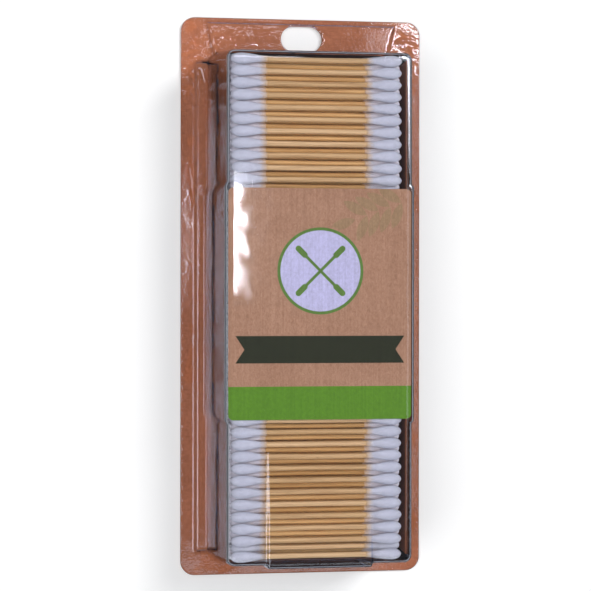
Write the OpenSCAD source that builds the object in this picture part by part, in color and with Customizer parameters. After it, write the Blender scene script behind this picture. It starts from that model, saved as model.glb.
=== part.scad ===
// Blister pack of cotton swabs, lying on its back.
// X runs across the pack, Y towards the hang hole and Z out of the clear front.
// The origin is under the middle of the card.

/* [Swabs] */
// Length of one swab, tip to tip
swab_len = 76; // [60:1:90]
// Widest diameter of a cotton head
head_d = 5.2; // [4.6:0.1:6]
// Length of the cotton on each end
cotton_len = 16; // [12:0.5:20]
// Distance from the tip to the widest place of the cotton
head_peak = 4.5; // [3:0.5:6]
// Thickness of the cotton over the end of the stick
tip_cover = 1.6; // [1:0.1:2.5]
// Radius of the flat spot on the tip of a head
tip_flat_r = 0.5; // [0.3:0.1:1]
// Thickness of the cotton where it thins out on the stick
cotton_edge = 0.12; // [0.08:0.01:0.3]
// Diameter of a stick
stick_d = 2.4; // [1.8:0.1:2.8]
// Space between neighbouring cotton heads
head_gap = 0.06; // [0.03:0.01:0.2]

/* [Stack] */
// Swabs in a row of the front layer
row_count = 41; // [12:1:50]
// Layers from the back to the front
layer_count = 12; // [3:1:14]
// Step down of each of the two squeezed swabs at the foot of the front layer
squeeze_step = 3.4; // [2.8:0.1:4.4]
// Space between the stack and each end wall
end_gap = 0.5; // [0.2:0.1:2]
// Space between the swabs and the left wall
left_gap = 1.25; // [0.6:0.05:3]
// Space between the swabs and the right wall
right_gap = 3.65; // [0.6:0.05:8]
// Space between layers of the pack that lie on each other
lay_gap = 0.05; // [0.02:0.01:0.2]

/* [Card] */
// Thickness of the board
card_t = 0.5; // [0.3:0.05:0.8]
// Corner radius of the card and of the clear flange
card_corner_r = 6.5; // [3:0.5:10]
// Width of the flange beside the bubble
side_margin = 11.95; // [9:0.05:20]
// Height of the header above the bubble
header_h = 15.3; // [14:0.1:30]
// Height of the flange below the bubble
foot_margin = 5.7; // [4:0.1:15]
// Corner radius of the window
window_corner_r = 8; // [3:0.5:12]
// Space between the edge of the window and the bubble
window_gap = 0.15; // [0.05:0.05:0.5]
// Length that each end of a flap is cut back from the window
flap_cut_back = 8.2; // [4:0.1:20]

/* [Hang hole] */
// Width of the hang hole
hole_w = 19.5; // [10:0.5:32]
// Height of the hang hole
hole_h = 12; // [5:0.5:12.5]
// Distance from the top of the card to the middle of the hang hole
hole_drop = 9.1; // [8:0.1:12]

/* [Clear shell] */
// Thickness of the clear film
film_t = 0.4; // [0.25:0.05:0.6]
// Draft of the long walls in degrees
side_draft = 3.8; // [1:0.1:8]
// Draft of the end walls in degrees
end_draft = 7; // [2:0.1:10]
// Corner radius of the bubble at the flange
bubble_base_r = 8.4; // [4:0.1:12]
// Corner radius of the bubble at the front
bubble_front_r = 3.2; // [1.5:0.1:5]
// Rounding between the walls and the front
front_edge_r = 1.3; // [0.8:0.1:3]
// Width of the raised step along each long side
rail_w = 6; // [3:0.5:8]
// Height of the raised step
rail_h = 1.6; // [0.8:0.1:3]
// Height of the raised panel in the header
panel_h = 1.1; // [0.5:0.1:2]
// Space between the raised panel and the top of the card
panel_drop = 1.7; // [1:0.1:2.5]
// How far the top corners of the panel stand outside the bubble
panel_flare = 1; // [0:0.1:3]
// How far each side of the panel leans in on the way down
panel_taper = 3.8; // [1:0.1:6]
// Width of the finger bulge in the foot wall
bulge_w = 47; // [30:1:60]
// How far the bulge stands out of the foot wall at the front
bulge_out = 1.6; // [1:0.1:5.5]
// Length of the bulge up the front
bulge_len = 57; // [30:1:60]
// How far the bulge stands out of the front
bulge_rise = 0.9; // [0.4:0.1:1.5]

/* [Label] */
// Width of the label card
label_w = 81; // [60:0.5:90]
// Height of the label card
label_h = 101; // [90:1:110]
// Thickness of the label card
label_t = 0.35; // [0.2:0.05:0.6]
// Corner radius of the label card
label_corner_r = 2.2; // [1:0.1:5]
// Space between each side of the label and the rounded edge of the front
label_gap = 0.05; // [0.05:0.05:0.5]
// Space between each end of the label and the step that holds it
label_end_gap = 0.85; // [0.3:0.05:1.5]
// Height of the label's middle above the middle of the stack
label_lift = 1.7; // [0:0.1:4]
// Length over which the wall steps out beside the label
jog_ramp = 1.2; // [0.8:0.1:3]
// Thickness of a printed patch
print_t = 0.04; // [0.03:0.01:0.05]
// Height of the stripe across the foot of the label
stripe_h = 14.5; // [8:0.5:20]
// Width of the ribbon
ribbon_w = 74.7; // [40:0.1:78]
// Height of the ribbon
ribbon_h = 11.9; // [6:0.1:14]
// Depth of the notch in each end of the ribbon
ribbon_notch = 3.9; // [1:0.1:6]
// Space between the stripe and the ribbon
ribbon_gap = 10.15; // [4:0.05:14]
// Diameter of the round badge
badge_d = 38; // [24:1:44]
// Place of the badge's middle between the ribbon and the top of the label
badge_share = 0.44; // [0.42:0.01:0.52]
// Width of the ring round the badge
badge_ring = 1.3; // [0.6:0.1:2.5]
// Distance between the heads of a crossed swab on the badge
icon_len = 23.6; // [14:0.1:26]
// Length of each head of a crossed swab
icon_head_len = 6.5; // [4:0.1:8]
// Space that the sprig keeps from the badge
print_gap = 1; // [0.5:0.1:2]
// Length of a leaf in the sprig
leaf_len = 12; // [6:0.5:14]
// Widest place of a leaf
leaf_w = 4.4; // [2:0.1:6]
// Distance between the leaves along the stem
leaf_step = 5.5; // [3:0.1:8]
// Space between a leaf and the line of the stem
leaf_gap = 0.1; // [0.05:0.05:0.5]
// Angle between a leaf and the stem in degrees
leaf_spread = 50; // [30:1:70]
// Slope of the stem in degrees
stem_slope = 20; // [10:1:40]
// Leaves on each side of the sprig
leaf_count = 4; // [2:1:5]

/* [Hidden] */
$fn = 48;

// Length by which a cut runs past what it cuts
cut = 1;

// Straight pieces of a rounded edge or of a head's profile
edge_steps = 3;

// Front layers that are shorter at the foot, to leave room for the squeezed pair
short_layers = 2;

// The stack of swabs
pitch = head_d + head_gap;
layer_step = pitch * sin(60);
stack_depth = (layer_count - 1) * layer_step + head_d;
stack_back_z = card_t + lay_gap;
stack_front_z = stack_back_z + stack_depth;
front_layer_z = stack_front_z - head_d / 2;
squeeze_depth = sqrt(pitch * pitch - squeeze_step * squeeze_step);
spare_rows = ceil(stack_depth * tan(end_draft) / pitch) + 1;

// The inside of the bubble, first at its front and then at the flange
label_z = stack_front_z + lay_gap;
film_in_z = label_z + label_t + print_t + lay_gap;
front_z = film_in_z + film_t;
flange_z = 2 * card_t;
front_in_w = swab_len + left_gap + right_gap;
front_in_h = (row_count - 1) * pitch + 2 * squeeze_step + head_d + 2 * end_gap;
base_in_w = front_in_w + 2 * (film_in_z - flange_z) * tan(side_draft);
base_in_h = front_in_h + 2 * (film_in_z - flange_z) * tan(end_draft);
form_root = 2 * film_t;

// The outline of the pack and what lies in it
pack_w = base_in_w + 2 * film_t + 2 * side_margin;
pack_h = base_in_h + 2 * film_t + header_h + foot_margin;
bubble_y = (foot_margin - header_h) / 2;
window_w = base_in_w - 2 * window_gap;
window_h = base_in_h - 2 * window_gap;
hole_y = pack_h / 2 - hole_drop;
flap_h = window_w / 2 - card_t;
swab_x = (left_gap - right_gap) / 2;
top_row_y = bubble_y + front_in_h / 2 - end_gap - head_d / 2;

// The label and the wall that steps out to hold it
label_y = bubble_y + label_lift;
jog = max(0, label_w / 2 + label_gap + front_edge_r - film_t - front_in_w / 2);
jog_half_h = label_h / 2 + label_end_gap;
print_z = label_z + label_t;
label_foot_y = label_y - label_h / 2;
ribbon_top = stripe_h + ribbon_gap + ribbon_h;
badge_lift = ribbon_top + (label_h - ribbon_top) * badge_share;

STICK_NODES = [for (i = [1 : layer_count]) str("sticks_", i)];
COTTON_NODES = [for (i = [1 : layer_count]) str("cotton_", i)];
CARD_NODES = ["back_card", "insert_card", "blister"];
LABEL_NODES = ["label_card", "stripe_print", "ribbon_print", "badge_field", "badge_print", "sprig_print"];

// Wall half sizes at a height, where skin is the depth below the outer surface
function wall_half_w(z, skin) = base_in_w / 2 + film_t - skin - (z - flange_z) * tan(side_draft);
function wall_half_h(z, skin) = base_in_h / 2 + film_t - skin - (z - flange_z) * tan(end_draft);

// Points of a quarter circle, from the start angle on
function corner_arc(centre, r, start, steps = 5) =
    [for (i = [0 : steps]) centre + r * [cos(start + 90 * i / steps), sin(start + 90 * i / steps)]];

// Right half of the bubble's outline from the foot to the top, with its step beside the label
function right_chain(half_w, half_h, r) = concat(
    corner_arc([half_w - r, bubble_y - half_h + r], r, 270),
    [[half_w, label_y - jog_half_h - jog_ramp], [half_w + jog, label_y - jog_half_h]],
    [[half_w + jog, label_y + jog_half_h], [half_w, label_y + jog_half_h + jog_ramp]],
    corner_arc([half_w - r, bubble_y + half_h - r], r, 0));

// A closed ring made of a right half and its mirror image, at a height
function mirrored_ring(chain, z) = concat(
    [for (p = chain) [p[0], p[1], z]],
    [for (i = [len(chain) - 1 : -1 : 0]) [-chain[i][0], chain[i][1], z]]);

// One ring of the bubble, where inset draws it in from the wall
function bubble_ring(z, inset, skin) =
    let (share = (z - flange_z) / (front_z - flange_z))
    let (r = bubble_base_r + share * (bubble_front_r - bubble_base_r) - skin)
    mirrored_ring(right_chain(wall_half_w(z, skin) - inset, wall_half_h(z, skin) - inset, r), z);

// Skin over rings that are mirror images of themselves, from the lowest to the highest
module loft(rings) {
    n = len(rings[0]);
    last = (len(rings) - 1) * n;
    points = [for (ring = rings) each ring];
    sides = [for (k = [0 : len(rings) - 2], i = [0 : n - 1])
        let (a = k * n + i, b = k * n + (i + 1) % n)
        each [[a, a + n, b + n], [a, b + n, b]]];
    floor_faces = [for (i = [0 : n / 2 - 2]) each [[i, i + 1, n - 1 - i], [i + 1, n - 2 - i, n - 1 - i]]];
    roof_faces = [for (f = floor_faces) [last + f[2], last + f[1], last + f[0]]];
    polyhedron(points = points, faces = concat(sides, floor_faces, roof_faces), convexity = 6);
}

// Rounded rectangle about the origin
module rounded_plate(w, h, r) {
    square([w - 2 * r, h], center = true);
    square([w, h - 2 * r], center = true);
    for (x = [-1, 1], y = [-1, 1]) translate([x * (w / 2 - r), y * (h / 2 - r)]) circle(r);
}

// Bar about the origin with round ends
module capsule(len, w) {
    square([len - w, w], center = true);
    for (x = [-1, 1]) translate([x * (len - w) / 2, 0]) circle(d = w);
}

// Outline of the card and of the clear flange, with the hang hole
module card_outline() {
    difference() {
        rounded_plate(pack_w, pack_h, card_corner_r);
        hang_hole();
    }
}

// Oval hole for a display peg
module hang_hole() {
    translate([0, hole_y]) capsule(hole_w, hole_h);
}

// Solid bubble from below the flange to the front
module bubble_form(skin) {
    edge_r = front_edge_r - skin;
    top_z = front_z - skin;
    walls = [for (z = [flange_z - skin * cut, top_z - edge_r]) bubble_ring(z, 0, skin)];
    edge = [for (i = [1 : edge_steps])
        let (a = 90 * i / edge_steps)
        bubble_ring(top_z - edge_r + edge_r * sin(a), edge_r * (1 - cos(a)), skin)];
    loft(concat(walls, edge));
}

// Solid step along both long sides, sloped on its outer side
module rail_form(skin) {
    inner_x = base_in_w / 2 - form_root;
    outer_x = wall_half_w(flange_z, 0) + rail_w - skin;
    low_z = flange_z - skin * cut;
    foot_z = flange_z + film_t - skin;
    rail_half_h = base_in_h / 2 - bubble_base_r / 2 - skin;
    for (side = [0, 1])
        mirror([side, 0, 0]) translate([0, bubble_y + rail_half_h, 0]) rotate([90, 0, 0])
            linear_extrude(2 * rail_half_h)
                polygon([[inner_x, low_z], [outer_x, low_z], [outer_x, foot_z],
                    [outer_x - rail_h, foot_z + rail_h], [inner_x, foot_z + rail_h]]);
}

// Solid panel in the header that the hang hole goes through
module panel_form(skin) {
    half_top = base_in_w / 2 + panel_flare - skin;
    half_foot = half_top - panel_taper;
    top_y = pack_h / 2 - panel_drop - skin;
    foot_y = bubble_y + base_in_h / 2 - form_root;
    translate([0, 0, flange_z - skin * cut])
        linear_extrude(film_t + panel_h - skin + skin * cut)
            polygon([[half_foot, foot_y], [half_top, top_y], [-half_top, top_y], [-half_foot, foot_y]]);
}

// Solid finger bulge, full height in the foot wall and fading out up the front
module bulge_form(skin) {
    half_top = bulge_w / 2 - skin;
    half_foot = half_top + film_t;
    base_y = bubble_y - base_in_h / 2 - film_t / 2 + skin;
    lip_y = bubble_y - wall_half_h(front_z, 0) - bulge_out + skin;
    inner_y = bubble_y - front_in_h / 2 + bulge_len;
    low_z = flange_z - skin * cut;
    lip_z = front_z + bulge_rise - skin;
    inner_z = front_z + lay_gap - skin;
    loft([
        [[half_foot, base_y, low_z], [half_foot, inner_y, low_z],
            [-half_foot, inner_y, low_z], [-half_foot, base_y, low_z]],
        [[half_top, lip_y, lip_z], [half_top, inner_y - skin, inner_z],
            [-half_top, inner_y - skin, inner_z], [-half_top, lip_y, lip_z]]]);
}

// Everything that the mould stands for, at a depth below the outer surface
module formed_shape(skin) {
    bubble_form(skin);
    rail_form(skin);
    panel_form(skin);
    bulge_form(skin);
}

module blister() {
    color("lightsteelblue", 0.35)
        difference() {
            union() {
                translate([0, 0, flange_z])
                    linear_extrude(film_t) rounded_plate(pack_w, pack_h, card_corner_r);
                formed_shape(0);
            }
            formed_shape(film_t);
            translate([0, 0, flange_z - cut]) linear_extrude(panel_h + film_t + 2 * cut) hang_hole();
        }
}

module back_card() {
    color("peru") linear_extrude(card_t) card_outline();
}

// Board with a window whose two halves are folded forward as side flaps
module insert_card() {
    flap_len = window_h - 2 * flap_cut_back;
    lean = flap_h * tan(side_draft);
    edge_x = window_w / 2;
    flap_top_z = flange_z + flap_h;
    color("sienna") {
        translate([0, 0, card_t]) linear_extrude(card_t)
            difference() {
                card_outline();
                translate([0, bubble_y]) rounded_plate(window_w, window_h, window_corner_r);
            }
        for (side = [0, 1])
            mirror([side, 0, 0]) translate([0, bubble_y + flap_len / 2, 0]) rotate([90, 0, 0])
                linear_extrude(flap_len)
                    polygon([[edge_x - card_t, card_t], [edge_x + card_t, card_t],
                        [edge_x + card_t, flange_z], [edge_x, flange_z],
                        [edge_x - lean, flap_top_z], [edge_x - lean - card_t, flap_top_z],
                        [edge_x - card_t, flange_z]]);
    }
}

// Height of a layer, counted from the front layer as 0
function layer_z(depth) = front_layer_z - depth * layer_step;

// Does a head at a height along the row clear the end walls of its layer?
function fits(y, depth) =
    let (reach = front_in_h / 2 - end_gap - head_d / 2 + lay_gap)
    abs(y - bubble_y) < reach + depth * layer_step * tan(end_draft);

// Heights of the swabs in a layer, in a close-packed pattern that leaves room for the squeezed pair
function row_heights(depth) = [
    for (k = [-spare_rows : row_count + spare_rows])
        let (y = top_row_y - (k + (depth % 2) / 2) * pitch)
        if (fits(y, depth) && (depth >= short_layers || k < row_count - depth)) y];

// Places of the swabs in a layer, with the squeezed pair in the front one
function swab_places(depth) = concat(
    [for (y = row_heights(depth)) [swab_x, y, layer_z(depth)]],
    depth > 0 ? [] : [for (i = [1, 2])
        let (y = top_row_y - (row_count - 1) * pitch - i * squeeze_step)
        [swab_x, y, front_layer_z - (2 - i) * squeeze_depth]]);

// Radius of the cotton at a distance from the tip
function cotton_r(t) =
    let (thin_r = stick_d / 2 + cotton_edge)
    t < head_peak ? head_d / 2 * sqrt(1 - pow(1 - t / head_peak, 2))
    : thin_r + (head_d / 2 - thin_r) * (1 + cos(180 * (t - head_peak) / (cotton_len - head_peak))) / 2;

// Cotton with its tip at the origin, wound round the end of a stick that points up
module cotton_head() {
    dome = [for (i = [1 : edge_steps]) head_peak * (1 - cos(90 * i / edge_steps))];
    taper = [for (i = [1 : edge_steps]) head_peak + (cotton_len - head_peak) * i / edge_steps];
    outside = [for (t = concat(dome, taper)) [cotton_r(t), t]];
    rotate_extrude() polygon(concat([[0, 0], [tip_flat_r, 0]], outside,
        [[stick_d / 2, cotton_len], [stick_d / 2, tip_cover], [0, tip_cover]]));
}

module sticks(depth) {
    color("burlywood")
        for (place = swab_places(depth)) translate(place) rotate([0, 90, 0])
            cylinder(d = stick_d, h = swab_len - 2 * tip_cover, center = true);
}

module cottons(depth) {
    color("white")
        for (place = swab_places(depth), side = [0, 1]) translate(place) mirror([side, 0, 0])
            translate([-swab_len / 2, 0, 0]) rotate([0, 90, 0]) cotton_head();
}

module label_card() {
    color("burlywood") translate([0, label_y, label_z]) linear_extrude(label_t)
        rounded_plate(label_w, label_h, label_corner_r);
}

// Places a flat print on the label, with the middle of the label's foot at the origin
module on_label() {
    translate([0, label_foot_y, print_z]) linear_extrude(print_t) children();
}

module stripe_print() {
    color("olivedrab") on_label() intersection() {
        translate([0, label_h / 2]) rounded_plate(label_w, label_h, label_corner_r);
        translate([-label_w / 2, 0]) square([label_w, stripe_h]);
    }
}

// Ribbon with a swallow tail at each end
module ribbon_print() {
    tail = ribbon_w / 2;
    half_h = ribbon_h / 2;
    color("darkolivegreen") on_label() translate([0, ribbon_top - half_h])
        polygon([[-tail, -half_h], [tail, -half_h], [tail - ribbon_notch, 0],
            [tail, half_h], [-tail, half_h], [ribbon_notch - tail, 0]]);
}

module badge_field() {
    color("white") on_label() translate([0, badge_lift]) difference() {
        circle(d = badge_d - 2 * badge_ring);
        crossed_swabs();
    }
}

// Ring and crossed swabs of the badge
module badge_print() {
    color("olivedrab") on_label() translate([0, badge_lift]) {
        difference() {
            circle(d = badge_d);
            circle(d = badge_d - 2 * badge_ring);
        }
        crossed_swabs();
    }
}

// Two plain swab outlines, crossed
module crossed_swabs() {
    for (turn = [-45, 45]) rotate(turn) {
        square([icon_len, badge_ring], center = true);
        for (side = [-1, 1]) translate([side * icon_len / 2, 0]) capsule(icon_head_len, 2 * badge_ring);
    }
}

// One pointed leaf that starts at the origin and lies along X
module leaf() {
    bow_r = (leaf_len * leaf_len / 4 + leaf_w * leaf_w / 4) / leaf_w;
    translate([leaf_len / 2, 0]) intersection_for(side = [-1, 1])
        translate([0, side * (bow_r - leaf_w / 2)]) circle(bow_r);
}

// Pairs of leaves along X, with one more at the end
module sprig() {
    for (i = [0 : leaf_count - 1], side = [-1, 1])
        translate([i * leaf_step, side * leaf_gap]) rotate(side * leaf_spread) leaf();
    translate([leaf_count * leaf_step, 0]) leaf();
}

// Sprig in the upper right corner of the label, clear of the badge
module sprig_print() {
    color("tan") on_label() difference() {
        intersection() {
            translate([0, label_h / 2]) rounded_plate(label_w, label_h, label_corner_r);
            translate([label_w / 2 - leaf_w, label_h - leaf_len / 2]) rotate(180 + stem_slope) sprig();
        }
        translate([0, badge_lift]) circle(d = badge_d + 2 * print_gap);
    }
}

back_card();
insert_card();
label_card();
stripe_print();
ribbon_print();
badge_field();
badge_print();
sprig_print();
for (i = [1 : layer_count]) {
    sticks(layer_count - i);
    cottons(layer_count - i);
}
blister();
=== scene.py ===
"""Looks of the blister pack of cotton swabs, lying on its back, in the CAD frame."""

import functools
import math
import random

import bmesh
import bpy
import numpy as np
from mathutils import Matrix, Vector, noise
from mathutils.geometry import delaunay_2d_cdt


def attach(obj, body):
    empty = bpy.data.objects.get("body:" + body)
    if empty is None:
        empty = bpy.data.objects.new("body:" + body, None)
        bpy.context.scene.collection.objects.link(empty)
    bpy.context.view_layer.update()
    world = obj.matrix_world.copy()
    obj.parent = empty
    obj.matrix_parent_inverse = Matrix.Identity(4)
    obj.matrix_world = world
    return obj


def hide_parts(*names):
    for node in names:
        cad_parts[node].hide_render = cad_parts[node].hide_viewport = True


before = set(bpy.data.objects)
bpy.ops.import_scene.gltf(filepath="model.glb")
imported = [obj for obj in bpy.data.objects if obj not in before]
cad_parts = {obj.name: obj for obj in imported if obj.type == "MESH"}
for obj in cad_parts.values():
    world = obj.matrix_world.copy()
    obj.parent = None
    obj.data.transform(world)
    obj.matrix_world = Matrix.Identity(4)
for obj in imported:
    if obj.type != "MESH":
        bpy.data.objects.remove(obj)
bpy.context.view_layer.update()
MM = 0.001

# ---------------------------------------------------------------- sizes, in mm, as in the part's source
SWAB_LEN, HEAD_D, COTTON_LEN, HEAD_PEAK, TIP_COVER, STICK_D = 76, 5.2, 16, 4.5, 1.6, 2.4
PITCH, ROWS, LAYERS, SQUEEZE_STEP, END_GAP = 5.26, 41, 12, 3.4, 0.5
CARD_T, LABEL_T, PRINT_T, FILM_T, GAP = 0.5, 0.35, 0.04, 0.4, 0.05
LAYER_STEP = PITCH * math.sin(math.radians(60))
FRONT_LAYER_Z = CARD_T + GAP + (LAYERS - 1) * LAYER_STEP + HEAD_D / 2
SQUEEZE_DEPTH = math.sqrt(PITCH ** 2 - SQUEEZE_STEP ** 2)
SWAB_X = -1.2
FLANGE_Z = 2 * CARD_T
FRONT_Z = FRONT_LAYER_Z + HEAD_D / 2 + GAP + LABEL_T + PRINT_T + GAP + FILM_T
SIDE_LEAN, END_LEAN = math.tan(math.radians(3.8)), math.tan(math.radians(7))
FRONT_W, FRONT_H = 80.9, (ROWS - 1) * PITCH + 2 * SQUEEZE_STEP + HEAD_D + 2 * END_GAP
BASE_W = FRONT_W + 2 * (FRONT_Z - FILM_T - FLANGE_Z) * SIDE_LEAN
BASE_H = FRONT_H + 2 * (FRONT_Z - FILM_T - FLANGE_Z) * END_LEAN
FLANGE_W, HEADER_H, FOOT_H = 11.95, 15.3, 5.7
PACK_W = BASE_W + 2 * FILM_T + 2 * FLANGE_W
PACK_H = BASE_H + 2 * FILM_T + HEADER_H + FOOT_H
CARD_R, BASE_R, FRONT_R, EDGE_R = 6.5, 8.4, 3.2, 1.3
BUBBLE_Y = (FOOT_H - HEADER_H) / 2
TOP_ROW_Y = BUBBLE_Y + FRONT_H / 2 - END_GAP - HEAD_D / 2
HOLE_Y, HOLE_W, HOLE_H = PACK_H / 2 - 9.1, 19.5, 12
RAIL_W, RAIL_H = 6, 1.6
PANEL_H, PANEL_DROP, PANEL_FLARE, PANEL_TAPER = 1.1, 1.7, 1, 3.8
BULGE_W, BULGE_OUT, BULGE_LEN, BULGE_RISE = 47, 1.6, 57, 0.9
LABEL_Y, JOG, JOG_HALF_H, JOG_RAMP = BUBBLE_Y + 1.7, 1.0, 51.35, 1.2


def smooth(t):
    """A step from 0 to 1 with soft ends."""
    t = np.clip(t, 0, 1)
    return t * t * (3 - 2 * t)


# ---------------------------------------------------------------- materials
class Shade:
    """A principled material whose nodes are added by short calls."""

    def __init__(self, name, **sockets):
        self.mat = bpy.data.materials.new(name)
        self.mat.use_nodes = True
        self.tree = self.mat.node_tree
        self.bsdf = self.tree.nodes["Principled BSDF"]
        self.out = self.tree.nodes["Material Output"]
        for key, value in sockets.items():
            self.bsdf.inputs[key.replace("_", " ")].default_value = value
        self.coord = self.add("ShaderNodeTexCoord").outputs["Object"]

    def add(self, kind, links=(), **sockets):
        node = self.tree.nodes.new(kind)
        for key, value in sockets.items():
            if hasattr(node, key):
                setattr(node, key, value)
            else:
                node.inputs[key.replace("_", " ")].default_value = value
        for socket, source in dict(links).items():
            self.tree.links.new(source, node.inputs[socket])
        return node

    def noise(self, stretch, detail=3, rough=0.55, distortion=0.0):
        """Noise whose cells are 1/stretch metres wide along each axis."""
        place = self.add("ShaderNodeMapping", {"Vector": self.coord}, Scale=stretch)
        return self.add("ShaderNodeTexNoise", {"Vector": place.outputs[0]}, Scale=1.0, Detail=detail,
                        Roughness=rough, Distortion=distortion).outputs["Fac"]

    def ramp(self, source, *stops):
        node = self.add("ShaderNodeValToRGB", {"Fac": source})
        elements = node.color_ramp.elements
        while len(elements) < len(stops):
            elements.new(0.5)
        for element, (at, colour) in zip(elements, stops):
            element.position = at
            element.color = (*colour, 1) if len(colour) == 3 else colour
        return node.outputs["Color"]

    def mix(self, fac, a, b, blend="MIX"):
        node = self.add("ShaderNodeMix", data_type="RGBA", blend_type=blend)
        for socket, value in ((0, fac), (6, a), (7, b)):
            if isinstance(value, bpy.types.NodeSocket):
                self.tree.links.new(value, node.inputs[socket])
            elif isinstance(value, (tuple, list)):
                node.inputs[socket].default_value = (*value, 1)
            else:
                node.inputs[socket].default_value = value
        return node.outputs[2]

    def math(self, operation, a, b=None):
        node = self.add("ShaderNodeMath", operation=operation)
        for i, value in enumerate((a, b)):
            if isinstance(value, bpy.types.NodeSocket):
                self.tree.links.new(value, node.inputs[i])
            elif value is not None:
                node.inputs[i].default_value = value
        return node.outputs[0]

    def axis(self, name, source=None):
        return self.add("ShaderNodeSeparateXYZ", {"Vector": source or self.coord}).outputs[name]

    def band(self, value, low, high):
        """0 below low, 1 above high."""
        node = self.add("ShaderNodeMapRange", {"Value": value}, clamp=True)
        node.inputs["From Min"].default_value = low
        node.inputs["From Max"].default_value = high
        return node.outputs[0]

    def bump(self, height, distance, strength=1.0, normal=None):
        links = {"Height": height}
        if normal:
            links["Normal"] = normal
        return self.add("ShaderNodeBump", links, Strength=strength, Distance=distance).outputs[0]

    def wire(self, **sockets):
        for key, source in sockets.items():
            self.tree.links.new(source, self.bsdf.inputs[key.replace("_", " ")])
        return self.mat


def kraft_colour(s, light, dark, fleck):
    """Brown board: cloudy tone, fibres both ways and a few dark flecks."""
    cloud = s.noise((28, 28, 28), detail=4)
    tone = s.ramp(cloud, (0.3, dark), (0.7, light))
    along = s.noise((420, 1700, 900), detail=5, rough=0.7, distortion=0.6)
    across = s.noise((1900, 380, 900), detail=4, rough=0.7, distortion=0.6)
    fibres = s.mix(0.5, along, across)
    tone = s.mix(0.75, tone, s.ramp(fibres, (0.36, (0.55, 0.5, 0.46)), (0.62, (1.25, 1.25, 1.25))), "MULTIPLY")
    specks = s.ramp(s.noise((650, 900, 700), detail=2), (0.70, (0, 0, 0)), (0.78, (1, 1, 1)))
    return s.mix(s.math("MULTIPLY", specks, 0.5), tone, fleck), fibres


def kraft(name, light, dark, fleck=(0.07, 0.035, 0.02), roughness=0.85, painted_shade_up=None):
    """Board. The optional last tone is painted shade: it goes on faces that look up, for the unlit inside of the
    pack.
    """
    s = Shade(name, Roughness=roughness, Specular_IOR_Level=0.25)
    colour, fibres = kraft_colour(s, light, dark, fleck)
    if painted_shade_up:
        normal = s.add("ShaderNodeNewGeometry").outputs["Normal"]
        colour = s.mix(s.band(s.axis("Z", normal), 0.4, 0.6), colour, painted_shade_up)
    return s.wire(Base_Color=colour, Normal=s.bump(fibres, 0.06 * MM, 0.6))


def bamboo(name, light, dark, offset):
    """Round bamboo sticks: each has its own tone, with long grain and a few darker fibres."""
    s = Shade(name, Roughness=0.52, Specular_IOR_Level=0.35)
    from_top = s.math("SUBTRACT", s.axis("Y"), (TOP_ROW_Y + offset) * MM + PITCH / 2 * MM)
    row = s.math("FLOOR", s.math("DIVIDE", from_top, PITCH * MM))
    layer = s.math("FLOOR", s.math("DIVIDE", s.axis("Z"), LAYER_STEP * MM))
    place = s.add("ShaderNodeCombineXYZ", {"X": row, "Y": layer})
    own = s.add("ShaderNodeTexWhiteNoise", {"Vector": place.outputs[0]}, noise_dimensions="3D").outputs["Value"]
    tone = s.ramp(own, (0.0, dark), (1.0, light))
    grain = s.noise((38, 2600, 2600), detail=4, rough=0.65, distortion=0.3)
    tone = s.mix(0.8, tone, s.ramp(grain, (0.33, (0.62, 0.52, 0.42)), (0.6, (1.12, 1.12, 1.12))), "MULTIPLY")
    spots = s.ramp(s.noise((300, 900, 900), detail=2), (0.71, (0, 0, 0)), (0.79, (1, 1, 1)))
    tone = s.mix(s.math("MULTIPLY", spots, 0.45), tone, (0.2, 0.1, 0.04))
    return s.wire(Base_Color=tone, Normal=s.bump(grain, 0.05 * MM, 0.5))


def cotton(name, light, shade, stick):
    """Wound cotton wool: soft fibres, and it thins out over the stick."""
    s = Shade(name, Roughness=0.95, Specular_IOR_Level=0.1, Sheen_Weight=0.25, Sheen_Roughness=0.5)
    wool = s.noise((700, 1500, 1500), detail=6, rough=0.7, distortion=1.2)
    clumps = s.noise((260, 420, 420), detail=3, distortion=0.8)
    tone = s.ramp(s.mix(0.5, wool, clumps), (0.34, shade), (0.62, light))
    from_middle = s.math("ABSOLUTE", s.math("SUBTRACT", s.axis("X"), SWAB_X * MM))
    edge = s.math("ADD", from_middle, s.math("MULTIPLY", s.math("SUBTRACT", wool, 0.5), 5 * MM))
    thin = s.band(edge, (SWAB_LEN / 2 - COTTON_LEN + 0.2) * MM, (SWAB_LEN / 2 - COTTON_LEN + 3.2) * MM)
    tone = s.mix(thin, stick, tone)
    rough = s.bump(clumps, 0.5 * MM, 0.35)
    return s.wire(Base_Color=tone, Normal=s.bump(wool, 0.22 * MM, 0.55, rough))


def label_paper(name, light, dark, roughness=0.7, ink=None, cover=0.0):
    """Smooth brown card with faint upright lines and fibres, or a print on it where ink is given."""
    s = Shade(name, Roughness=roughness, Specular_IOR_Level=0.1 if ink else 0.25)
    lines = s.noise((1300, 30, 9), detail=3, rough=0.6)
    cloud = s.noise((35, 60, 35), detail=4)
    fibres = s.noise((900, 520, 9), detail=5, rough=0.75, distortion=1.0)
    tone = s.ramp(cloud, (0.3, dark), (0.7, light))
    tone = s.mix(0.6, tone, s.ramp(lines, (0.3, (0.84, 0.80, 0.76)), (0.68, (1.08, 1.08, 1.08))), "MULTIPLY")
    tone = s.mix(0.8, tone, s.ramp(fibres, (0.34, (0.74, 0.68, 0.62)), (0.62, (1.1, 1.1, 1.1))), "MULTIPLY")
    if ink:
        wear = s.noise((900, 700, 900), detail=4, rough=0.7)
        wear = s.ramp(wear, (0.3, (0.82, 0.82, 0.82)), (0.7, (1.12, 1.12, 1.12)))
        printed = s.mix(0.7, s.mix(0.9, ink, wear, "MULTIPLY"),
                        s.ramp(lines, (0.32, (0.86, 0.86, 0.86)), (0.66, (1.06, 1.06, 1.06))), "MULTIPLY")
        tone = s.mix(cover, tone, printed)
    return s.wire(Base_Color=tone, Normal=s.bump(lines, 0.03 * MM, 0.5))


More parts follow.
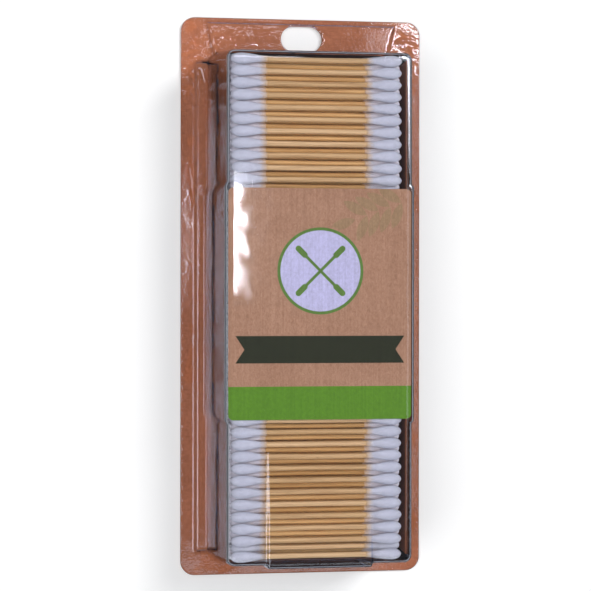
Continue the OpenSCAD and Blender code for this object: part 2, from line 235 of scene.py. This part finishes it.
FILM_IOR, FILM_ROUGHNESS = 1.46, 0.055
EMBOSS_TOP = 3.0  # mm above the floor; the fine grain of the sealed flange fades out over the next millimetre


def clear_film(name):
    """Thin clear plastic: light goes straight through, and the surface is glossy at its edge angles."""
    s = Shade(name)
    s.tree.nodes.remove(s.bsdf)
    emboss = s.noise((900, 900, 900), detail=1)
    low = s.math("SUBTRACT", 1.0, s.band(s.axis("Z"), EMBOSS_TOP * MM, (EMBOSS_TOP + 1) * MM))
    small = s.math("MULTIPLY", emboss, low)
    wave = s.noise((30, 12, 60), detail=3)
    normal = s.bump(small, 0.05 * MM, 0.5, s.bump(wave, 0.2 * MM, 0.5))
    fresnel = s.add("ShaderNodeFresnel", {"Normal": normal}, IOR=FILM_IOR)
    clear = s.add("ShaderNodeBsdfTransparent")
    clear.inputs["Color"].default_value = (0.965, 0.965, 0.98, 1)
    gloss = s.add("ShaderNodeBsdfAnisotropic", {"Normal": normal}, Roughness=FILM_ROUGHNESS)
    gloss.inputs["Color"].default_value = (0.90, 0.92, 1.0, 1)
    both = s.add("ShaderNodeMixShader", {"Fac": fresnel.outputs[0]})
    s.tree.links.new(clear.outputs[0], both.inputs[1])
    s.tree.links.new(gloss.outputs[0], both.inputs[2])
    s.tree.links.new(both.outputs[0], s.out.inputs["Surface"])
    return s.mat


UNDER_INK = (0.46, 0.25, 0.15), (0.42, 0.23, 0.14)  # the light and dark tone of the board under a print
MATERIALS = {
    # The back board's upward faces get near-black painted shade, for the unlit hollow behind the swabs.
    "back": kraft("back_board", (0.44, 0.19, 0.095), (0.36, 0.15, 0.072), painted_shade_up=(0.07, 0.033, 0.022)),
    "insert": kraft("insert_board", (0.56, 0.205, 0.094), (0.46, 0.165, 0.074)),
    "label": label_paper("label_board", (0.47, 0.272, 0.170), (0.415, 0.230, 0.138)),
    "stripe": label_paper("stripe_ink", *UNDER_INK, 0.6, (0.110, 0.280, 0.015), 0.97),
    "ribbon": label_paper("ribbon_ink", *UNDER_INK, 0.6, (0.014, 0.024, 0.008), 0.97),
    "field": label_paper("field_ink", *UNDER_INK, 0.65, (0.57, 0.56, 0.76), 0.93),
    "badge": label_paper("badge_ink", *UNDER_INK, 0.6, (0.115, 0.235, 0.045), 0.97),
    "sprig": label_paper("sprig_ink", (0.50, 0.285, 0.180), (0.44, 0.240, 0.145), 0.7, (0.30, 0.235, 0.115), 0.55),
    "stick_front": bamboo("bamboo_front", (0.78, 0.54, 0.29), (0.62, 0.40, 0.185), 0),
    # The sticks behind the front layer are more orange than the front ones: painted warm bounce light and shade from
    # between the layers.
    "stick_next": bamboo("bamboo_next_painted_bounce", (0.86, 0.54, 0.22), (0.68, 0.39, 0.13), PITCH / 2),
    "stick_deep": bamboo("bamboo_deep_painted_bounce", (0.80, 0.50, 0.20), (0.62, 0.36, 0.12), 0),
    "cotton": cotton("cotton_wool", (0.63, 0.64, 0.71), (0.52, 0.53, 0.60), (0.66, 0.46, 0.27)),
    # A brighter, pinker copy of the cotton for the layers behind the front: painted light that makes up for the
    # shade they get between the front heads.
    "cotton_painted_light": cotton("cotton_wool_painted_light", (0.84, 0.80, 0.86), (0.72, 0.68, 0.75), (0.80, 0.56, 0.34)),
    "film": clear_film("clear_shell"),
}

PLAIN_NODES = {"back_card": "back", "insert_card": "insert", "label_card": "label", "stripe_print": "stripe",
               "ribbon_print": "ribbon", "badge_field": "field", "badge_print": "badge", "sprig_print": "sprig"}
for layer in range(1, LAYERS + 1):
    PLAIN_NODES[f"sticks_{layer}"] = "stick_deep"
    PLAIN_NODES[f"cotton_{layer}"] = "cotton"
for node, key in PLAIN_NODES.items():
    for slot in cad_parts[node].material_slots:
        slot.material = MATERIALS[key]


# ---------------------------------------------------------------- mesh helpers
def add_mesh(name, points, faces, material, slot, node):
    """A smooth mesh in place of a CAD node, from points in mm."""
    mesh = bpy.data.meshes.new(name)
    mesh.from_pydata((np.asarray(points) * MM).tolist(), [], faces)
    mesh.materials.append(MATERIALS[material])
    mesh.shade_smooth()
    mesh.validate()
    piece = bpy.data.objects.new(name, mesh)
    bpy.context.scene.collection.objects.link(piece)
    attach(piece, "root")
    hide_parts(node)
    return piece


def turned(rings, segments):
    """Faces of a closed body made of rings of points, with a centre point before and after them."""
    faces = [[0, 1 + (j + 1) % segments, 1 + j] for j in range(segments)]
    for i in range(rings - 1):
        a, b = 1 + i * segments, 1 + (i + 1) * segments
        faces += [[a + j, a + (j + 1) % segments, b + (j + 1) % segments, b + j] for j in range(segments)]
    last, end = 1 + (rings - 1) * segments, 1 + rings * segments
    return faces + [[end, last + j, last + (j + 1) % segments] for j in range(segments)]


# ---------------------------------------------------------------- swabs of the three front layers
def swab_places(depth):
    """Height along the pack and above the card of each swab in a layer, counted from the front."""
    reach = FRONT_H / 2 - END_GAP - HEAD_D / 2 + GAP + depth * LAYER_STEP * END_LEAN
    places = []
    for k in range(-3, ROWS + 4):
        y = TOP_ROW_Y - (k + (depth % 2) / 2) * PITCH
        if abs(y - BUBBLE_Y) < reach and (depth > 1 or k < ROWS - depth):
            places.append((y, FRONT_LAYER_Z - depth * LAYER_STEP))
    if depth == 0:
        last = TOP_ROW_Y - (ROWS - 1) * PITCH
        places += [(last - i * SQUEEZE_STEP, FRONT_LAYER_Z - (2 - i) * SQUEEZE_DEPTH) for i in (1, 2)]
    return places


# How far cotton and sticks leave the turned shape, in mm (the shares of the stick: of its radius)
COTTON_END_T = 0.12
LUMP, GROOVE, DRAWN_IN, DEEPEST = 0.055, 0.03, 0.13, 0.4
STICK_SHARE, OVAL, UNEVEN = 0.985, 0.012, 0.006
BOW_Y, BOW_BACK, BOW_FORTH = 0.28, 0.2, 0.12
# Distances from the tip of a head at which its rings stand
HEAD_T = np.array([0.06, 0.22, 0.5, 0.9, 1.4, 2.0, 2.7, 3.5, 4.5, 5.6, 6.7, 7.8, 8.9, 10, 11, 12, 13, 14, 15, 16])
HEAD_SEGMENTS, STICK_SEGMENTS, STICK_RINGS = 26, 14, 24
STICK_REACH = SWAB_LEN / 2 - TIP_COVER


def cotton_radius(t):
    """Radius of a head t mm from its tip: a dome, then a long fade down to the stick."""
    thin = STICK_D / 2 + COTTON_END_T
    dome = HEAD_D / 2 * np.sqrt(np.clip(1 - (1 - t / HEAD_PEAK) ** 2, 0, 1))
    run = np.clip((t - HEAD_PEAK) / (COTTON_LEN - HEAD_PEAK), 0, 1)
    fade = thin + (HEAD_D / 2 - thin) * (1 + np.cos(np.pi * run)) / 2
    return np.where(t < HEAD_PEAK, dome, fade)


def head_points(y, z, side, rng):
    """One head: the turned profile, drawn in a little by soft lumps and shallow fibre grooves."""
    turn = np.linspace(0, 2 * np.pi, HEAD_SEGMENTS, endpoint=False)
    t, a = np.meshgrid(HEAD_T, turn, indexing="ij")
    r = cotton_radius(t)
    lumps = sum(rng.uniform(0.3, 1) * np.sin(k * a + rng.uniform(0, 6.3) + rng.uniform(-1, 1) * t * 0.7)
                for k in (1, 2, 3, 5))
    grooves = np.sin(9 * a + rng.uniform(0, 6.3) + 0.8 * t) * np.sin(0.9 * t + rng.uniform(0, 6.3))
    body = smooth((t - 0.3) / 2.5) * smooth((COTTON_LEN + 1 - t) / 5)
    r = r - body * (DRAWN_IN + LUMP * lumps + GROOVE * grooves).clip(0, DEEPEST)
    x = SWAB_X + side * (SWAB_LEN / 2 - t - rng.uniform(0, 0.25) * smooth((4 - t) / 4))
    rings = np.stack([x, y + r * np.cos(a), z + r * np.sin(a)], axis=-1).reshape(-1, 3)
    tip = [[SWAB_X + side * (SWAB_LEN / 2 - 0.02), y, z]]
    end = [[SWAB_X + side * (SWAB_LEN / 2 - COTTON_LEN), y, z]]
    return np.concatenate([tip, rings, end])


def stick_points(y, z, rng):
    """One stick: nearly round, with a slight bow and an uneven surface."""
    turn = np.linspace(0, 2 * np.pi, STICK_SEGMENTS, endpoint=False)
    x, a = np.meshgrid(np.linspace(-STICK_REACH, STICK_REACH, STICK_RINGS), turn, indexing="ij")
    bow = np.cos(np.pi * x / (2 * STICK_REACH)) ** 2
    oval = OVAL * np.sin(2 * a + rng.uniform(0, 6.3))
    uneven = UNEVEN * np.sin(x * 0.23 + rng.uniform(0, 6.3))
    r = STICK_D / 2 * (STICK_SHARE + oval + uneven)
    centre_y = y + rng.uniform(-BOW_Y, BOW_Y) * bow
    centre_z = z + rng.uniform(-BOW_BACK, BOW_FORTH) * bow
    rings = np.stack([x + SWAB_X, centre_y + r * np.cos(a), centre_z + r * np.sin(a)], axis=-1).reshape(-1, 3)
    return np.concatenate([[[SWAB_X - STICK_REACH, y, z]], rings, [[SWAB_X + STICK_REACH, y, z]]])


def gather(parts, faces):
    """Points and faces of one mesh made of several bodies that share a list of faces."""
    count = len(parts[0])
    return np.concatenate(parts), [[i + k * count for i in f] for k in range(len(parts)) for f in faces]


def flip(faces):
    """The same faces turned over, for a mirrored body."""
    return [f[::-1] for f in faces]


# Layers behind the front get sticks with painted warm bounce light and cotton painted brighter.
LOOKS = (("stick_front", "cotton"), ("stick_next", "cotton_painted_light"), ("stick_deep", "cotton_painted_light"))
for depth, (stick_material, cotton_material) in enumerate(LOOKS):
    layer = LAYERS - depth
    rng = random.Random(40 + depth)
    places = swab_places(depth)
    sticks = [stick_points(y, z, rng) for y, z in places]
    add_mesh(f"bamboo_sticks_{layer}", *gather(sticks, turned(STICK_RINGS, STICK_SEGMENTS)),
             stick_material, "bamboo", f"sticks_{layer}")
    heads = turned(len(HEAD_T), HEAD_SEGMENTS)
    left = gather([head_points(y, z, -1, rng) for y, z in places], heads)
    right = gather([head_points(y, z, 1, rng) for y, z in places], flip(heads))
    points = np.concatenate([left[0], right[0]])
    faces = left[1] + [[i + len(left[0]) for i in f] for f in right[1]]
    add_mesh(f"cotton_heads_{layer}", points, faces, cotton_material, "cotton", f"cotton_{layer}")


# ---------------------------------------------------------------- clear shell
def wall_half(z):
    """Half the bubble's width and height at a height above the floor."""
    return (BASE_W / 2 + FILM_T - (z - FLANGE_Z) * SIDE_LEAN, BASE_H / 2 + FILM_T - (z - FLANGE_Z) * END_LEAN)


def arc_stops(start, steps=9):
    """Directions over a quarter turn."""
    turns = [start + math.pi / 2 * i / steps for i in range(steps + 1)]
    return [(math.cos(turn), math.sin(turn)) for turn in turns]


def label_step(y):
    """How far the side walls step out beside the label."""
    return smooth((JOG_HALF_H + JOG_RAMP - np.abs(y - LABEL_Y)) / JOG_RAMP) * JOG


def straight(count, dense=()):
    """Stops from -1 to 1, without the ends, closer together round the dense places."""
    stops = set(np.round(np.linspace(-1, 1, count)[1:-1], 5))
    for place, width in dense:
        stops |= set(np.round(np.linspace(place - width, place + width, 9), 5))
    return sorted(stops)


END_STOPS, SIDE_STOPS = 44, 110


def ring_template():
    """Rows of (cx, cy, ux, uy): corner centre shares and the outward direction, from the lower left corner round."""
    crease = BULGE_W / 2 / 37
    foot = straight(END_STOPS, ((-crease, 0.05), (crease, 0.05)))
    jogs = [((LABEL_Y - BUBBLE_Y + s * (JOG_HALF_H + JOG_RAMP / 2)) / (FRONT_H / 2 - 2), 0.02) for s in (-1, 1)]
    side = straight(SIDE_STOPS, jogs)
    rows = [(-1, -1, *u) for u in arc_stops(math.pi)]
    rows += [(t, -1, 0, -1) for t in foot]
    rows += [(1, -1, *u) for u in arc_stops(1.5 * math.pi)]
    rows += [(1, t, 1, 0) for t in side]
    rows += [(1, 1, *u) for u in arc_stops(0)]
    rows += [(-t, 1, 0, 1) for t in straight(END_STOPS)]
    rows += [(-1, 1, *u) for u in arc_stops(0.5 * math.pi)]
    rows += [(-1, -t, -1, 0) for t in side]
    return np.array(rows)


RING = ring_template()


def ring_points(z, inset=0.0):
    """Plan of the bubble's outline at a height, with the step beside the label."""
    half_w, half_h = wall_half(z)
    half_w, half_h = half_w - inset, half_h - inset
    r = BASE_R + (z - FLANGE_Z) / (FRONT_Z - FLANGE_Z) * (FRONT_R - BASE_R)
    cx, cy, ux, uy = RING.T
    x = cx * (half_w - r) + r * ux
    y = BUBBLE_Y + cy * (half_h - r) + r * uy
    return x + ux * label_step(y) * (np.abs(uy) < 0.01), y


def box_distance(x, y, half_w, half_h, r):
    """Signed distance to a rounded rectangle about the origin, negative inside."""
    qx, qy = np.abs(x) - half_w + r, np.abs(y) - half_h + r
    return np.hypot(np.maximum(qx, 0), np.maximum(qy, 0)) + np.minimum(np.maximum(qx, qy), 0) - r


def drawn_in(x, y):
    """Across the pack, with the step beside the label taken off."""
    return np.sign(x) * (np.abs(x) - label_step(y))


def past_wall(x, y):
    """Distance outside the foot of the walls."""
    return box_distance(drawn_in(x, y), y - BUBBLE_Y, BASE_W / 2 + FILM_T, BASE_H / 2 + FILM_T, BASE_R)


def past_hole(x, y):
    """Distance outside the hang hole."""
    return box_distance(x, y - HOLE_Y, HOLE_W / 2, HOLE_H / 2, HOLE_H / 2)


def past_edge(x, y):
    """Distance outside the card's outline."""
    return box_distance(x, y, PACK_W / 2, PACK_H / 2, CARD_R)


def flange_height(x, y):
    """Outer surface of the flange with its raised rails and header panel."""
    outer = BASE_W / 2 + FILM_T + RAIL_W
    half = BASE_H / 2 - BASE_R / 2
    rail = RAIL_H * smooth((outer - np.abs(x)) / RAIL_H) * smooth((half - np.abs(y - BUBBLE_Y)) / 1.8)
    inside = np.abs(x) < BASE_W / 2 - 3
    rail = np.where(inside, 0, rail)
    top = PACK_H / 2 - PANEL_DROP
    low = BUBBLE_Y + BASE_H / 2 - 3 * FILM_T
    lean = PANEL_TAPER / (top - low)
    side = (BASE_W / 2 + PANEL_FLARE - (top - y) * lean - np.abs(x)) / math.hypot(1, lean)
    panel = PANEL_H * smooth(np.minimum(top - y, side) / 1.1) * (y > BUBBLE_Y)
    return FLANGE_Z + FILM_T + np.maximum(rail, panel) + np.maximum(dents(x, y), -0.25)


# Wrinkled patches as centre x, y and half width and height; creases as the x, y of both ends
WRINKLED = ((-24, 117.5, 17, 8), (51, 118, 6, 8), (-52, 100, 6, 14), (55, 112, 3, 9))
CREASES = ((-54.1, 105.2, -47.6, 101.5), (-55.1, 96.8, -45.7, 95.4), (-49.0, 109.9, -46.0, 99.1),
           (-53.0, 60.0, -50.6, 44.0), (52.0, -112.0, 55.0, -104.0), (-38.0, -127.5, -31.0, -124.5))


def dents(x, y):
    """Wrinkles in the header and a few sharp creases in the flange, as a change of height."""
    total = np.zeros(len(x))
    for cx, cy, w, h in WRINKLED:
        near = np.exp(-((x - cx) / w) ** 4 - ((y - cy) / h) ** 4)
        for i in np.nonzero(near > 0.01)[0]:
            total[i] += 0.22 * near[i] * noise.noise(Vector((x[i] * 0.16, y[i] * 0.55, 3)))
            total[i] += 0.08 * near[i] * noise.noise(Vector((x[i] * 0.6, y[i] * 1.3, 8)))
    for x1, y1, x2, y2 in CREASES:
        run = math.dist((x1, y1), (x2, y2))
        t = np.clip(((x - x1) * (x2 - x1) + (y - y1) * (y2 - y1)) / run ** 2, 0, 1)
        away = np.hypot(x - x1 - t * (x2 - x1), y - y1 - t * (y2 - y1))
        total -= 0.22 * np.exp(-(away / 0.55) ** 2)
    return total


def grid(x_stops, y_stops):
    """Points of a grid as two flat lists."""
    x, y = np.meshgrid(x_stops, y_stops)
    return x.ravel(), y.ravel()


def loop_edges(start, count):
    """Edges of a closed loop of points."""
    return [(start + i, start + (i + 1) % count) for i in range(count)]


def fill(loops, x, y, keep):
    """Triangles between closed loops, over loose points, where keep(x, y) holds at a triangle's middle."""
    points, edges = [], []
    for lx, ly in loops:
        edges += loop_edges(len(points), len(lx))
        points += list(zip(lx.tolist(), ly.tolist()))
    points += list(zip(x.tolist(), y.tolist()))
    verts, _, faces, *_ = delaunay_2d_cdt([Vector(p) for p in points], edges, [], 0, 1e-5, False)
    verts = np.array([v[:] for v in verts])
    faces = np.array(faces)
    middle = verts[faces].mean(axis=1)
    faces = faces[keep(middle[:, 0], middle[:, 1])]
    a, b, c = (verts[faces[:, i]] for i in range(3))
    turn = (b[:, 0] - a[:, 0]) * (c[:, 1] - a[:, 1]) - (b[:, 1] - a[:, 1]) * (c[:, 0] - a[:, 0])
    faces[turn < 0] = faces[turn < 0][:, ::-1]
    return verts[:, 0], verts[:, 1], faces[np.abs(turn) > 1e-7]


def bulge(x, y, z):
    """Pushes the foot wall and the front out where the finger bulge is."""
    across = smooth((BULGE_W / 2 + 0.4 - np.abs(x)) / 1.5)
    share = np.clip((z - FLANGE_Z - FILM_T) / (FRONT_Z - FLANGE_Z), 0, 1)
    foot = BUBBLE_Y - FRONT_H / 2 - FILM_T
    along = np.clip((foot + BULGE_LEN - y) / BULGE_LEN, 0, 1)
    out = across * share * BULGE_OUT * smooth((foot + 24 - y) / 24) * (y < BUBBLE_Y)
    return y - out, z + across * share * BULGE_RISE * along


def outline_points(half_w, half_h, r, y0=0.0, step=2.0):
    """A rounded rectangle as a loop of points."""
    pts = []
    for cx, cy, start in ((1, 1, 0), (-1, 1, 90), (-1, -1, 180), (1, -1, 270)):
        for i in range(13):
            a = math.radians(start + 90 * i / 12)
            pts.append((cx * (half_w - r) + r * math.cos(a), y0 + cy * (half_h - r) + r * math.sin(a)))
    loop = []
    for i, p in enumerate(pts):
        q = pts[(i + 1) % len(pts)]
        n = max(1, int(math.dist(p, q) / step))
        loop += [(p[0] + (q[0] - p[0]) * k / n, p[1] + (q[1] - p[1]) * k / n) for k in range(n)]
    loop = [p for i, p in enumerate(loop) if math.dist(p, loop[i - 1]) > 1e-3]
    return np.array(loop).T


def film_points():
    """Outer surface of the shell: flange, walls in rings, and front."""
    points, faces, count = [], [], 0

    def put(x, y, z, new_faces):
        nonlocal count
        y, z = bulge(x, y, z)
        points.append(np.stack([x, y, z], axis=1))
        faces.extend([[i + count for i in f] for f in new_faces])
        count += len(x)

    # Flange, between the card's outline, the hang hole and the foot of the walls
    base_x, base_y = ring_points(np.full(len(RING), FLANGE_Z + FILM_T))
    base_z = flange_height(base_x, base_y)
    base_x, base_y = ring_points(base_z)
    outer = outline_points(PACK_W / 2, PACK_H / 2, CARD_R)
    hole = outline_points(HOLE_W / 2, HOLE_H / 2, HOLE_H / 2 - 0.001, HOLE_Y, 1.0)
    xs = np.concatenate([np.arange(-56, -43, 0.55), np.arange(-43, 43.1, 1.0), np.arange(43.45, 56.3, 0.55)])
    ys = np.concatenate([np.arange(-128.9, -112, 0.8), np.arange(-112, 108, 1.5), np.arange(108, 129, 0.55)])
    gx, gy = grid(xs, ys)
    free = (past_wall(gx, gy) > 0.3) & (past_hole(gx, gy) > 0.3) & (past_edge(gx, gy) < -0.3)
    x, y, tris = fill([outer, hole, (base_x, base_y)], gx[free], gy[free],
                      lambda x, y: (past_wall(x, y) > -0.02) & (past_hole(x, y) > 0) & (past_edge(x, y) < 0))
    put(x, y, flange_height(x, y), tris.tolist())

    # Walls
    shares = np.concatenate([np.linspace(0, 0.06, 4)[:-1], np.linspace(0.06, 1, 22)])
    rings = []
    for share in shares:
        z = base_z + share * (FRONT_Z - EDGE_R - base_z)
        rings.append((*ring_points(z), z))
    for angle in np.radians([15, 30, 45, 60, 75, 90]):
        z = np.full(len(RING), FRONT_Z - EDGE_R + EDGE_R * math.sin(angle))
        rings.append((*ring_points(z, EDGE_R * (1 - math.cos(angle))), z))
    n = len(RING)
    quads = [[k * n + i, k * n + (i + 1) % n, (k + 1) * n + (i + 1) % n, (k + 1) * n + i]
             for k in range(len(rings) - 1) for i in range(n)]
    put(*(np.concatenate([r[i] for r in rings]) for i in range(3)), quads)

    # Front
    top_x, top_y, _ = rings[-1]
    half_w, half_h = top_x.max(), (top_y.max() - top_y.min()) / 2
    xs = np.concatenate([np.arange(-38, 38.1, 2.0), np.arange(21, 25, 0.4), -np.arange(21, 25, 0.4)])
    ys = np.arange(BUBBLE_Y - half_h + 1.2, BUBBLE_Y + half_h - 1, 2.0)
    gx, gy = grid(np.unique(np.round(xs, 4)), ys)
    past_front = functools.partial(box_distance, half_w=half_w - JOG, half_h=half_h, r=FRONT_R)
    free = past_front(gx, gy - BUBBLE_Y) < -0.7
    x, y, tris = fill([(top_x, top_y)], gx[free], gy[free],
                      lambda x, y: past_front(drawn_in(x, y), y - BUBBLE_Y) < 0.05)
    put(x, y, np.full(len(x), FRONT_Z), tris.tolist())
    return np.concatenate(points), faces


FILM_MESH_T = 0.38  # just under FILM_T
BROAD_DENT, FINE_DENT = 0.05, 0.03
film = add_mesh("clear_film_shell", *film_points(), "film", "clear_film", "blister")
work = bmesh.new()
work.from_mesh(film.data)
bmesh.ops.remove_doubles(work, verts=work.verts, dist=0.02 * MM)
bmesh.ops.recalc_face_normals(work, faces=work.faces)
if sum(f.normal.z for f in work.faces) < 0:
    bmesh.ops.reverse_faces(work, faces=work.faces)
work.normal_update()
for v in work.verts:
    p = v.co * 1000
    from_edge = min(1, max(0, (PACK_W / 2 - abs(p.x)) / 3), max(0, (PACK_H / 2 - abs(p.y)) / 3))
    lift = BROAD_DENT * noise.noise(p * 0.045) + FINE_DENT * noise.noise(p * 0.16 + Vector((7, 3, 1)))
    v.co += v.normal * lift * from_edge * MM
work.to_mesh(film.data)
work.free()

skin = film.modifiers.new("thickness", "SOLIDIFY")
skin.thickness = FILM_MESH_T * MM
skin.offset = -1
skin.use_even_offset = True
bpy.context.view_layer.objects.active = film
with bpy.context.temp_override(object=film, active_object=film):
    bpy.ops.object.modifier_apply(modifier="thickness")
film.data.shade_smooth()


# ---------------------------------------------------------------- camera
# Fitted to the photo
CAMERA_PLACE, CAMERA_LENS = (-0.12395, 0.00258, 0.79569), 104.58
CAMERA_TURNS = (("Y", -8.681), ("X", -0.1545), ("Z", 0.065))

camera = bpy.data.objects.new("camera", bpy.data.cameras.new("camera"))
bpy.context.scene.collection.objects.link(camera)
camera.data.sensor_width = 36
camera.data.lens = CAMERA_LENS
camera.data.clip_end = 20
placed = Matrix.Translation(CAMERA_PLACE)
for turn_axis, degrees in CAMERA_TURNS:
    placed = placed @ Matrix.Rotation(math.radians(degrees), 4, turn_axis)
camera.matrix_world = placed
bpy.context.scene.camera = camera
bpy.context.scene.view_settings.view_transform = "Standard"


# ---------------------------------------------------------------- floor, world and lamps
FLOOR_ALBEDO, FLOOR_GLOW = 0.9, 0.16
FLOOR_HALF, FLOOR_Z = 4, -0.0003
SKY_STRENGTH = 0.2


def floor_material():
    """Matt white paper, lifted a little for the camera alone so that only the shadow shows."""
    s = Shade("studio_floor", Roughness=1.0, Specular_IOR_Level=0.0)
    s.bsdf.inputs["Base Color"].default_value = (*[FLOOR_ALBEDO] * 3, 1)
    grain = s.noise((300, 300, 300), detail=3)
    s.wire(Normal=s.bump(grain, 0.02 * MM, 0.2))
    path = s.add("ShaderNodeLightPath")
    strength = s.math("MULTIPLY", path.outputs["Is Camera Ray"], FLOOR_GLOW)
    glow = s.add("ShaderNodeEmission", {"Strength": strength})
    both = s.add("ShaderNodeAddShader")
    s.tree.links.new(s.bsdf.outputs[0], both.inputs[0])
    s.tree.links.new(glow.outputs[0], both.inputs[1])
    s.tree.links.new(both.outputs[0], s.out.inputs["Surface"])
    return s.mat


mesh = bpy.data.meshes.new("floor")
corners = [(sx * FLOOR_HALF, sy * FLOOR_HALF, FLOOR_Z) for sx, sy in ((-1, -1), (1, -1), (1, 1), (-1, 1))]
mesh.from_pydata(corners, [], [(0, 1, 2, 3)])
mesh.materials.append(floor_material())
floor = bpy.data.objects.new("floor", mesh)
bpy.context.scene.collection.objects.link(floor)

world = bpy.data.worlds.new("studio")
bpy.context.scene.world = world
world.use_nodes = True
tree = world.node_tree
sky = tree.nodes["Background"]
sky.inputs["Color"].default_value = (0.93, 0.95, 1, 1)
sky.inputs["Strength"].default_value = SKY_STRENGTH
white = tree.nodes.new("ShaderNodeBackground")
white.inputs["Color"].default_value = (1, 1, 1, 1)
white.inputs["Strength"].default_value = 1
path = tree.nodes.new("ShaderNodeLightPath")
choose = tree.nodes.new("ShaderNodeMixShader")
tree.links.new(path.outputs["Is Camera Ray"], choose.inputs[0])
tree.links.new(sky.outputs[0], choose.inputs[1])
tree.links.new(white.outputs[0], choose.inputs[2])
tree.links.new(choose.outputs[0], tree.nodes["World Output"].inputs["Surface"])


def softbox(name, place, aim, size, watts):
    """A white rectangular lamp that faces a point."""
    lamp = bpy.data.lights.new(name, "AREA")
    lamp.shape = "RECTANGLE"
    lamp.size, lamp.size_y = size
    lamp.energy = watts
    thing = bpy.data.objects.new(name, lamp)
    bpy.context.scene.collection.objects.link(thing)
    thing.location = place
    thing.rotation_euler = (Vector(aim) - Vector(place)).to_track_quat("-Z", "Y").to_euler()


# Two large lamps that stand outside what the flat faces of the film mirror
softbox("main", (-0.45, -0.15, 1.05), (0, 0, 0.03), (0.60, 0.70), 6.6)
softbox("key", (0.52, 0.36, 1.10), (0, 0, 0.03), (0.30, 0.42), 7.6)
# Small lamps for the glare on the film: its left rail, header, upper right corner, right rim and foot
softbox("rail_glow", (0.047, 0.051, 0.80), (0.047, 0.051, 0), (0.016, 0.096), 0.14)
softbox("header_glow", (0.075, 0.232, 0.80), (0.075, 0.232, 0), (0.075, 0.030), 0.030)
softbox("corner_glow", (0.215, 0.232, 0.80), (0.215, 0.232, 0), (0.045, 0.040), 0.017)
softbox("rim_glow", (0.235, 0.0, 0.80), (0.235, 0.0, 0), (0.030, 0.42), 0.05)
softbox("foot_glow", (0.09, -0.27, 0.80), (0.09, -0.27, 0), (0.22, 0.05), 0.06)
